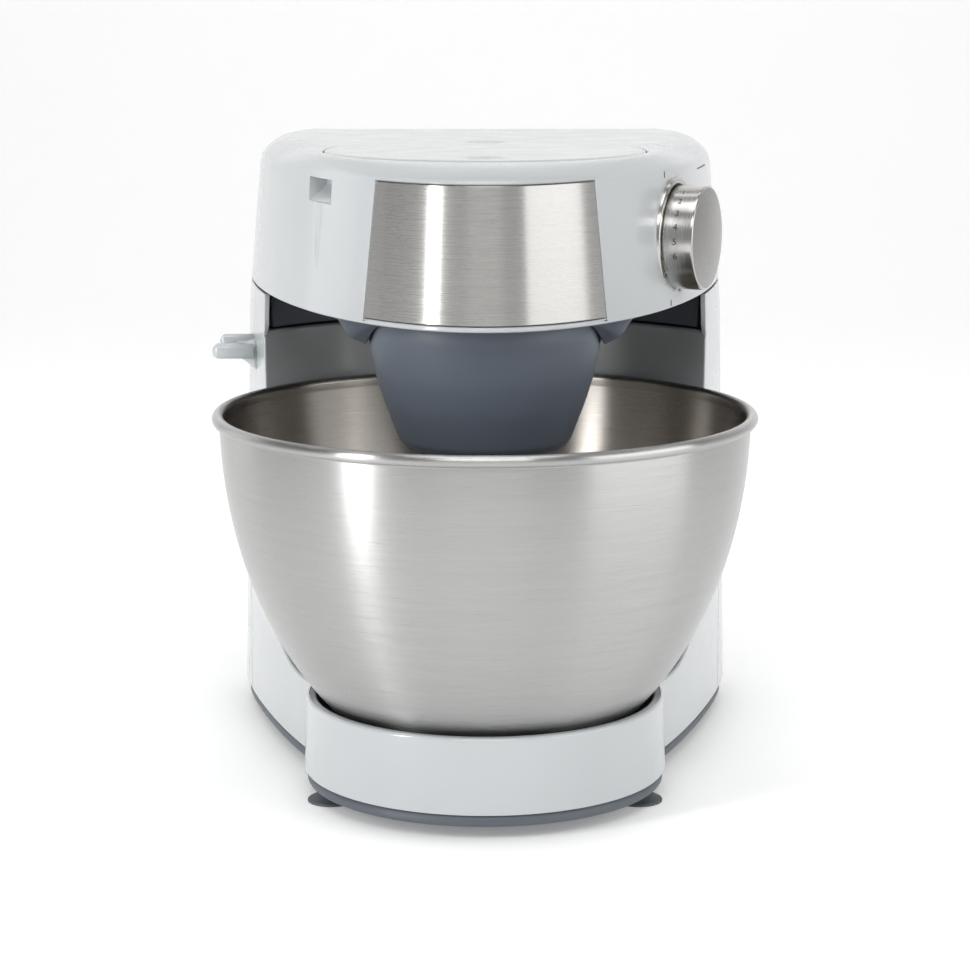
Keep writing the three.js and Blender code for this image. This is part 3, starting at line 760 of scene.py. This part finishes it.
def drum_skin(sheet, columns):
    """The barrel round the hinge and the head's back, between the two side walls."""
    edge = [column[0] for column in columns if column[0][0] > DRUM_FRONT - 0.1]
    angles = [degrees(atan2(z - HINGE_Z, y - HINGE_Y)) % 360 for y, z in edge]
    rows = [[(x, y, z) for x in back_line(half_width(y, z))] for y, z in edge]
    centre = len(rows[0]) // 2
    slots = {centre - 15, centre + 14}
    sheet.grid(rows, keep=lambda i, j: not (j in slots and SLOT_FROM < angles[i] < SLOT_TO))


def build_head():
    columns = head_columns()
    skin = head_skin(columns)
    drum_skin(skin, columns)
    skin.make(
        "head_skin", "head", "white", ("head_shell", "top_cover"), thick=SKIN, edge=1.0, rim=0.8,
        soften=lambda p: (p.z < HEAD_Z + 0.1 and p.y < 148) or (abs(p.x) < 54 and p.y < -20 and p.z < 285),
        slim=lambda p: p.y > 152 and p.z < 250,
    )


def build_panel():
    """The brushed front panel, standing just proud of the head."""
    front = [nose_row(z, panel_half(z), 60, -0.25) for z in spread(PANEL_LOW, PANEL_HIGH, 30)]
    heights = spread(PANEL_LOW - 1.6, PANEL_HIGH + 0.6, 8)
    gap_shade = [nose_row(z, panel_half(z) + 1.6, 30, 1.0) for z in heights]
    Sheet().grid(front).make(
        "front_panel_skin", "head", "panel", ("front_panel",), thick=1.4, edge=0.35, rim=0.35
    )
    # a near-black sheet just behind the panel's edge: painted shade in the gap round the panel
    Sheet().grid(gap_shade).make("panel_seat_shade", "head", "shadow")


def build_lid():
    """The round cover over the top outlet, with two finger dips."""
    profile = rounded([
        (20, 279), (25.4, 279, 0.6), (25.4, 286.2), (72.0, 286.2, 0.5), (LID_R, 287.4, 0.9),
        (71.2, LID_TOP, 0.9), (0, LID_TOP),
    ])
    side = [p for p in profile if p[0] >= 71 or p[1] <= 288]
    rows = turned(side + [(r, LID_TOP) for r in spread(70.9, 0.01, 40)], 160, 0, LID_Y)

    def dip(point):
        x, y, z = point
        if z < LID_TOP - 0.1:
            return point
        for side in (-1, 1):
            away = hypot(x, y - LID_Y - side * 52)
            if away < 10:
                z -= 0.75 * smooth((10 - away) / 3.2)
        return (x, y, z)

    dipped = [[dip(p) for p in line] for line in rows]
    ring_piece(dipped, "outlet_cover", "outlet_lid", "white", ("outlet_lid",))


# ---------- base ----------
FLAT = FACE_R - SWEEP_R - SEAT_R  # length of the cradle's flat
SWITCH_S = FLAT + SWEEP_R * radians(46)  # how far along the cradle the arms become the tower
RIM = [(74.0, 24.4)] + [(OPENING_R, z) for z in (24.6, 31, 38, 44.0)]
RIM += [(76.56, 44.9), (76.85, 45.6), (77.35, 45.95)]


def sweep_at(s):
    """Radius and height of the bowl's cradle: a flat, a quarter sweep, then the tower's face."""
    if s <= FLAT:
        return SEAT_R + s, PEDESTAL_Z
    turn = (s - FLAT) / SWEEP_R
    if turn <= pi / 2:
        return FACE_R - SWEEP_R + SWEEP_R * sin(turn), PEDESTAL_Z + SWEEP_R * (1 - cos(turn))
    return FACE_R, PEDESTAL_Z + SWEEP_R + (s - FLAT - SWEEP_R * pi / 2)


def outer_radius(angle, z):
    """The wall's radius, or the round pedestal's where that stands out farther."""
    pedestal = PEDESTAL_R - 0.035 * max(0.0, z - BASE_Z) if z <= PEDESTAL_Z + 0.01 else 0.0
    return max(wall_radius(angle, z), pedestal)


def edge_along_sweep(angle):
    """How far along the cradle its outer edge lies, in one direction."""
    return solve(lambda s: sweep_at(s)[0] < outer_radius(angle, sweep_at(s)[1]), 0.0, 90.0)


def arm_column(angle):
    """From the seat's wall over the cradle to its edge, then down the outer wall."""
    end = edge_along_sweep(angle)
    last = max(end - WALL_BEND, end * 0.5)
    line = [polar(r, angle, z) for r, z in RIM]
    for s in spread(0, last, 14) + [end]:
        r, z = sweep_at(s)
        line.append(polar(r, angle, z))
    top = sweep_at(end)[1] - WALL_BEND
    for z in [top - (top - BASE_Z) * s for s in spread(0, 1, 14)]:
        line.append(polar(outer_radius(angle, z), angle, z))
    return line


def cheek_edge(z):
    """y of the tower's upright front edge at a height on the sweep or above it."""
    if z < PEDESTAL_Z + SWEEP_R:
        r = FACE_R - SWEEP_R + sqrt(SWEEP_R**2 - (PEDESTAL_Z + SWEEP_R - z) ** 2)
    else:
        r = FACE_R
    return solve(lambda y: hypot(half_width(y, z), y) < r, 20.0, 110.0)


def cheek_angle(z):
    """The direction of the tower's front edge from the bowl's axis."""
    y = cheek_edge(z)
    return atan2(y, half_width(y, z))


def base_skin():
    sheet = Sheet()
    turn = cheek_angle(sweep_at(SWITCH_S)[1])
    arms = [arm_column(mix(-pi / 2, turn, s)) for s in spread(0, 1, 84)]
    sheet.both_sides(arms)
    count = len(RIM)

    # Across the back: the cradle and the tower's face, then the deck behind it.
    flat = [sweep_at(s) for s in spread(0, SWITCH_S - WALL_BEND, 14) + [SWITCH_S]]
    rows = [[polar(r, a, z) for a in spread(turn, pi - turn, 84)] for r, z in RIM + flat]
    heights = [sweep_at(s) for s in spread(SWITCH_S, FLAT + SWEEP_R * pi / 2, 8)[1:]]
    heights += [(FACE_R, z) for z in spread(PEDESTAL_Z + SWEEP_R, DECK_Z, 18)[1:]]
    for r, z in heights:
        start = cheek_angle(z)
        rows.append([polar(r, a, z) for a in spread(start, pi - start, 84)])
    deck_angles = [atan2(p[1], p[0]) for p in rows[-1]]
    for share in spread(0, 1, 6)[1:]:
        line = []
        for a in deck_angles:
            reach = min((SEAM_Y - SEAM_GAP) / max(sin(a), 0.1), wall_radius(a, DECK_Z, 1.0))
            line.append(polar(mix(FACE_R, max(reach, FACE_R + 0.4), share), a, DECK_Z))
        rows.append(line)
    sheet.grid(rows)

    # The outer walls from the cradle's edge back to the seam.
    edge = [(y, z) for _, y, z in reversed(arms[-1][count + 16 :])]
    levels = [arms[-1][count + 15][2]] + [z for _, z in heights] + spread(DECK_Z, TOWER_Z, 5)[1:]
    edge += [(cheek_edge(z), z) for z in levels]
    walls = [[(half_width(t, z), t, z) for t in spread(y, SEAM_Y - SEAM_GAP, 20)] for y, z in edge]
    return sheet.both_sides(walls)


def build_base():
    base_skin().make("base_skin", "base", "white", ("base_housing",), thick=SKIN, edge=1.5, rim=0.45)


def rear_skin():
    """The tower's rear cover, from the seam round the back, cut round the head's barrel."""
    top = [(y, TOWER_Z) for y in spread(SEAM_Y + SEAM_GAP, 159.3, 10)]
    start = 180 - degrees(asin(6.2 / ROOM_R))
    end = 360 - degrees(acos((REAR - HINGE_Y) / ROOM_R))
    top += list(drum_arc(ROOM_R, start, end, 56))[1:]
    sine = [sin(s * pi / 2) ** (2 / SQUARE) for s in spread(0, 1, 40)]
    bottom_y = spread(SEAM_Y + SEAM_GAP, WIDEST, 8)[:-1] + [mix(WIDEST, REAR, s) for s in sine]
    rows = []
    for (y1, z1), y0 in zip(resample(top, len(bottom_y)), bottom_y):
        line = [(min(mix(y0, y1, s), REAR), mix(BASE_Z, z1, s)) for s in spread(0, 1, 40)]
        rows.append([(half_width(y, z), y, z) for y, z in line])
    return Sheet().both_sides(rows)


def resample(line, count):
    """The same line with a given number of evenly spaced points."""
    lengths = [0.0]
    for a, b in zip(line, line[1:]):
        lengths.append(lengths[-1] + dist(a, b))
    out, i = [], 0
    for target in spread(0, lengths[-1], count - 1):
        while i < len(line) - 2 and lengths[i + 1] < target:
            i += 1
        span = lengths[i + 1] - lengths[i]
        out.append(mix_points(line[i], line[i + 1], (target - lengths[i]) / span if span else 0.0))
    return out


def build_rear_cover():
    rear_skin().make(
        "rear_skin", "base", "white", ("rear_cover",), thick=SKIN, edge=0.5, rim=0.45,
        soften=lambda p: p.y < 154 or p.z < 190,
        slim=lambda p: p.y > 154 and p.z > 194,
    )


def build_base_plate():
    """The dark plate under the base, a little inside the white walls."""
    steps, inset, arms_y = 240, 1.2, 10
    angles = circle(steps)
    reach = []
    for a in angles:
        body = wall_radius(a, BASE_Z, inset)
        if body * sin(a) < arms_y:
            body = min(body, arms_y / sin(a) if sin(a) > 0.05 else 0.0)
        reach.append(max(PEDESTAL_R - inset, body))
    for _ in range(2):
        reach = [(reach[i - 1] + 2 * reach[i] + reach[(i + 1) % steps]) / 4 for i in range(steps)]
    rows = [[polar(2.0, a, 9.2) for a in angles]]
    for out, z in rounded([(-6, 9.2), (-6, 6.5, 0.5), (0, 6.5, 1.2), (0, 11.7), (-5, 11.7)]):
        rows.append([polar(r + out, a, z) for r, a in zip(reach, angles)])
    rows.append([polar(2.0, a, 11.7) for a in angles])
    ring_piece(rows, "base_plate_skin", "base", "dark", ("base_plate",))


def build_feet():
    profile = rounded([
        (0.01, 1.8), (4, 1.5), (9.2, 0.0, 0.3), (11.0, 0.0, 0.35), (11.0, 1.1, 0.5), (8.6, 2.2, 1.0),
        (6.2, 4.2, 0.8), (6.0, 6.4), (0.01, 6.4),
    ])
    for node in [f"foot_{end}_{side}" for end in ("front", "rear") for side in ("left", "right")]:
        at = (middle(node) - CENTRE) / MM
        ring_piece(turned(profile, 64, at.x, at.y), f"{node}_skin", "base", "rubber", (node,))


def build_gland():
    """The cable outlet's grommet at the rear."""
    height = ((middle("cord_gland") - CENTRE) / MM).z
    rear = (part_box("cord_gland")[1][1] - CENTRE.y) / MM
    profile = rounded([
        (3.6, -12.9), (5.8, -12.9, 0.3), (5.8, -2.6), (9.0, -2.6, 0.3), (9.0, -0.8, 0.5), (6.4, 0.0, 0.5),
        (3.6, 0.0, 0.3), (3.6, -12.9),
    ])
    rows = [[(r * cos(a), rear + y, height + r * sin(a)) for a in circle(64)] for r, y in profile]
    ring_piece(rows, "cable_grommet", "base", "rubber", ("cord_gland",))


# ---------- lower shell and hub skirt ----------
def flare_share(angle):
    """The funnel's flare: none in front, full at the sides and the rear."""
    return smooth((sin(angle) + 0.65) / 0.55)


def build_lower_shell():
    """The slate underside: a tray, a funnel round the skirt and a deep part over the deck."""
    angles = circle(240)
    inmost = [(45.8, 203.45), (48.7, 203.45), (49.0, 203.8), (50.6, 216.6), (51.0, 217.5), (53.7, 217.8)]
    ahead = [(54.0, 217.9), (54.3, 218.0), (54.6, 218.1), (55.4, 218.3, 0.2), (56.0, 218.5, 0.2)]
    aside = [(53.8, 217.2), (52.6, 206.4), (53.6, 205.4), (60.7, 209.2, 2.5), (63.8, 214.5, 2)]
    ahead = rounded(inmost + ahead + [(56.5, TRAY_Z)])
    aside = rounded(inmost + aside + [(67.0, TRAY_Z)])
    edge = []
    for a in angles:
        hinge = 156 / max(sin(a), 0.01) if sin(a) > 0 else 999
        edge.append(min(wall_radius(a, 219, 3.8), hinge))
    inner = [min(e, TRAY_R) for e in edge]
    rows = []
    for slim, wide in zip(ahead, aside):
        line = []
        for a, limit in zip(angles, inner):
            r, z = mix_points(slim, wide, flare_share(a))
            line.append(polar(min(r, limit), a, z))
        rows.append(line)
    wide = [mix(ahead[-1][0], aside[-1][0], flare_share(a)) for a in angles]
    tray = [(a, limit, min(r, limit)) for a, limit, r in zip(angles, inner, wide)]
    for share in spread(0, 1, 6)[1:]:
        rows.append([polar(mix(r, limit, share), a, TRAY_Z) for a, limit, r in tray])
    deep = [e > TRAY_R + 0.1 for e in edge]
    drop = [TRAY_DEEP_Z if d else TRAY_Z for d in deep]
    rows.append([polar(limit, a, z) for a, limit, z in zip(angles, inner, drop)])
    far = []
    for a, near, e, d in zip(angles, inner, edge, deep):
        far.append(max(near, min(wall_radius(a, 204, 4.6), TRAY_END / sin(a)) if d else e))
    for share in spread(0, 1, 4)[1:]:
        rows.append([polar(mix(i, f, share), a, z) for a, i, f, z in zip(angles, inner, far, drop)])
    rows.append([polar(f, a, 221.5) for a, f in zip(angles, far)])
    ring_piece(
        rows, "underside_skin", "head", "slate", ("lower_shell",), edge=0.6,
        soften=lambda p: hypot(p.x, p.y) > 90,
    )


def build_hub_skirt():
    outside = rounded([
        (31.0, 158.0), (32.6, 158.0, 0.5), (35.4, 159.2, 1.2), (38.4, 162.6, 1.6), (40.4, 168, 2.5),
        (44.8, 179.5, 3), (48.7, 192, 3), (50.6, 201.4, 2), (51.8, 209, 1), (53.0, 216.6), (52.7, 217.0),
        (52.2, 216.9),
    ])
    inside = rounded([
        (51.5, 216.4), (49.9, 203.35), (46.3, 203.35), (46, 203.0), (46, 192, 2), (42.2, 180.2, 3),
        (37.8, 168.8, 2), (34, 162.4, 1), (31.0, 160.5), (31.0, 158.0),
    ])
    ring_piece(turned(outside + inside, 144), "hub_skirt_skin", "head", "slate", ("hub_skirt",))


# ---------- bowl ----------
def bowl_radius(z):
    return BOWL_R * sqrt(1 - ((BOWL_CENTRE_Z - z) / BOWL_DEPTH) ** 2)


def build_bowl():
    """A thin bowl with a flat foot and a rolled bead round its rim."""
    heights = [mix(35, 170.6, 1 - (1 - s) ** 1.2) for s in spread(0, 1, 60)]
    outer = [(bowl_radius(z), z) for z in heights]
    inner = [(bowl_radius(z) - BOWL_WALL, z) for z in reversed(heights)]
    under = [(0.01, 31.0), (20, 31.0), (40, 31.0), (50, 31.0), (54, 31.2, 2.5), outer[0]]
    floor = [inner[-1], (53, 32.4, 2.5), (49, 32.2), (30, 32.2), (0.01, 32.2)]
    bead_r, bead_z, bead = 118.9, 173.0, 2.6
    turns = [radians(d) for d in spread(-95, 175, 18)]
    bend = [(bead_r + bead * cos(a), bead_z + bead * sin(a)) for a in turns]
    profile = rounded(under, steps=6)[:-1] + outer + bend + inner[:-1] + rounded(floor, steps=6)
    ring_piece(turned(profile, 256), "bowl_skin", "bowl", "bowl_out", ("bowl",))


# ---------- dial ----------
def build_bezel():
    profile = rounded([
        (24.1, -4.9), (26.5, -4.9), (26.5, 1.4, 0.5), (25.9, 2.4, 0.4), (24.4, 2.4, 0.3), (23.9, 1.9),
        (23.9, -1.4), (4.2, -1.4), (4.2, -4.9), (24.1, -4.9),
    ])
    ring_piece(turned(profile), "dial_bezel", "head", "dial", ("knob_bezel",), place=knob_frame)


def build_dial():
    """The dial's side and its slightly crowned face, each brushed its own way."""
    side = rounded([
        (0.01, -0.9), (22.8, -0.9, 0.3), (23.3, -0.4), (23.3, 6), (23.3, 12), (23.3, 15.7, 0.5),
        (22.9, 16.3, 0.3), (DIAL_RIM_R, DIAL_RIM_Z),
    ])
    ring_piece(turned(side), "dial_side", "speed_knob", "dial", ("speed_knob",), place=knob_frame)
    radii = spread(DIAL_RIM_R, 0.01, 24)
    face = [(r, DIAL_RIM_Z + DIAL_CROWN * (1 - (r / DIAL_RIM_R) ** 2)) for r in radii]
    # the face takes the darker copy of the dial's steel: painted shade
    ring_piece(turned(face), "dial_face", "speed_knob", "dial_face", place=knob_frame)


# ---------- lever ----------
def prong(section, tip, root, reach):
    """A bar along x with a section given as (y, z) corners and a round tip at its left end."""
    cy = sum(y for y, _ in section) / len(section)
    cz = sum(z for _, z in section) / len(section)
    rows = [[(tip, cy, cz)] * len(section)]
    for turn in spread(0, pi / 2, 7)[1:]:
        wide, x = sin(turn), tip + reach * (1 - cos(turn))
        rows.append([(x, cy + (y - cy) * wide**0.6, cz + (z - cz) * wide**0.8) for y, z in section])
    rows.append([(root, y, z) for y, z in section])
    rows.append([(root, cy, cz)] * len(section))
    return rows


def outline(*corners):
    return rounded(corners, closed=True)


def build_lever():
    """The white release lever: two round-ended prongs on a root that swells into the tower's side."""
    front = outline((95.0, 184.2, 2.6), (95.0, 191.2, 2.2), (105.6, 191.2, 2.2), (105.6, 184.2, 2.2))
    rear = outline((110.0, 185.2, 1.6), (110.8, 194.0, 1.4), (116.4, 194.0, 1.6), (117.6, 185.2, 2))
    web = outline((100.0, 184.6, 1.0), (100.0, 189.0, 1.0), (114.0, 189.6, 1), (114.0, 184.8, 1))
    root = outline((98.0, 182.0, 3), (98.0, 192.4, 3), (123.0, 193.0, 4), (123.0, 182.0, 4))
    sheet = Sheet()
    for section, tip, reach in ((front, -131.0, 3.4), (rear, -128.6, 2.6), (web, -127.6, 2.0)):
        sheet.grid(prong(section, tip, -111.0, reach), closed=True)
    rows = [[(-121.8, LEVER_Y, LEVER_Z)] * len(root)]
    for x, swell, drop in (
        (-121.5, 0.62, 0.0), (-118.0, 0.68, -0.4), (-115.0, 0.78, -1.2), (-112.5, 0.92, -2.6),
        (-109.4, 1.0, -3.8),
    ):
        line = []
        for y, z in root:
            lift = LEVER_Z + (z - LEVER_Z) * swell + (drop if z < 188 else 0)
            line.append((x, LEVER_Y + (y - LEVER_Y) * swell, lift))
        rows.append(line)
    rows.append([(-109.4, LEVER_Y, LEVER_Z)] * len(root))
    sheet.grid(rows, closed=True)
    sheet.make("lever_plate", "release_lever", "white", ("release_lever",))
    hub = rounded([(0.01, -114.0), (4.2, -114.0, 0.8), (5.0, -113.0), (5.0, -110), (5.0, -88), (0.01, -88)])
    rows = [[(x, 124 + r * cos(a), 190 + r * sin(a)) for a in circle(64)] for r, x in hub]
    ring_piece(rows, "lever_hub", "release_lever", "white")


# ---------- small marks ----------
def build_marks():
    """The dial's two index ticks, then a short slit beside them and the tower's seam, each painted as dark
    shade.
    """
    ticks, proud = Sheet(), -0.07
    for low, high in ((277.4, 280.2), (220.2, 222.8)):
        ticks.grid([[wall_point(y, z, 1, proud) for y in (12.6, 13.6)] for z in spread(low, high, 6)])
    # a dark strip painted as the shade inside a short slit
    ticks.grid([[wall_point(y, 276.6 + u, 1, proud) for u in (0, 0.6)] for y in spread(74, 100, 14)])
    ticks.make("ticks_and_slit_shade", "head", "print_and_slit_shade", thick=0.3)
    sides, heights = (SEAM_Y - 2, SEAM_Y + 2), spread(14, 216, 40)
    # a near-black sheet just inside the seam: painted shade in the gap
    gap_shade = Sheet().both_sides([[(half_width(y, z, 1.6), y, z) for y in sides] for z in heights])
    gap_shade.make("seam_shade", "base", "shadow")


def build_numbers():
    """The speeds 1 to 6 printed on the dial's side, bent round it."""
    radius, step, along, size = 23.32, radians(16), 8.2, 4.2
    points, faces = [], []
    for number in range(1, 7):
        text = bpy.data.curves.new(f"speed_{number}", "FONT")
        text.body, text.size, text.extrude = str(number), size, 0.02
        text.align_x, text.align_y, text.resolution_u = "CENTER", "CENTER", 4
        pattern = put(f"speed_{number}", text)
        flat = pattern.evaluated_get(bpy.context.evaluated_depsgraph_get())
        solid = bpy.data.meshes.new_from_object(flat)
        start, middle_turn = len(points), -pi / 2 - step * (5 - number)
        for corner in solid.vertices:
            turn, r = middle_turn - corner.co.y / radius, radius + corner.co.z
            points.append(knob_frame((r * cos(turn), r * sin(turn), along + corner.co.x)))
        faces += [[start + i for i in face.vertices] for face in solid.polygons]
        bpy.data.objects.remove(pattern)
        bpy.data.curves.remove(text)
        bpy.data.meshes.remove(solid)
    piece = put("dial_numbers", plain_mesh("dial_numbers", points, faces))
    finish_piece(piece, "speed_knob", "print_and_slit_shade")


# ---------- stage ----------
def flat_material(name, color, roughness, glow):
    """A matt ground with a faint drift of tone and a weak light of its own."""
    look = Look(name, Emission_Color=(1, 1, 1, 1), Emission_Strength=glow)
    look.tint(look.noise(6.0), tuple(c * 0.995 for c in color), color)
    look.rough(look.noise(40.0), roughness, 0.02, 0.02)
    return look.material


def add_floor():
    """A wide floor that bends up into a wall behind the mixer, in metres."""
    reach, bend_y, bend_r, top = 30.0, 1.6, 1.2, 3.5
    profile = [(-reach, 0.0), (bend_y, 0.0)]
    for a in spread(0, pi / 2, 24)[1:]:
        profile.append((bend_y + bend_r * sin(a), bend_r - bend_r * cos(a)))
    profile.append((bend_y + bend_r, top))
    points = [(x, y, z) for y, z in profile for x in (-reach, reach)]
    faces = [(2 * i, 2 * i + 1, 2 * i + 3, 2 * i + 2) for i in range(len(profile) - 1)]
    floor = put("floor", plain_mesh("floor", points, faces))
    for face in floor.data.polygons:
        face.use_smooth = True
    floor.data.materials.append(flat_material("pale_floor", (0.93, 0.93, 0.93), 0.7, 0.18))


# Each soft box: place, target, width and height in metres, watts.
MIXER = (0, 0, 0.15)
LIGHTS = {
    "front_high": ((0, -1.6, 1.5), MIXER, (1.2, 0.6), 12),
    "overhead": ((0, -0.3, 1.9), MIXER, (1.2, 0.8), 8),
    "left_box": ((-1.17, -0.94, 0.5), MIXER, (0.25, 1.0), 12),
    "left_back": ((-1.3, 0.75, 0.5), MIXER, (0.6, 1.0), 1),
    "right_side": ((1.37, -0.61, 0.55), MIXER, (1.4, 1.0), 10),
    "backdrop": ((0, 1.0, 2.2), (0, 2.6, 0.6), (3.0, 1.0), 15),
}


def light_studio():
    world = bpy.data.worlds.new("studio")
    scene.world = world
    world.use_nodes = True
    sky = world.node_tree.nodes["Background"].inputs
    sky["Color"].default_value, sky["Strength"].default_value = (1, 1, 1, 1), 0.31
    for name, (place, target, size, power) in LIGHTS.items():
        lamp = bpy.data.lights.new(name, "AREA")
        lamp.shape, lamp.energy = "RECTANGLE", power
        lamp.size, lamp.size_y = size
        aim(put(name, lamp), place, target)


scene.view_settings.view_transform = "Standard"
add_floor()
light_studio()
for build in (
    build_head, build_panel, build_lid, build_base, build_rear_cover, build_base_plate, build_feet,
    build_gland, build_lower_shell, build_hub_skirt, build_bowl, build_bezel, build_dial, build_lever,
    build_marks, build_numbers,
):
    build()


def corners(box):
    return [[float(value) for value in corner] for corner in box]
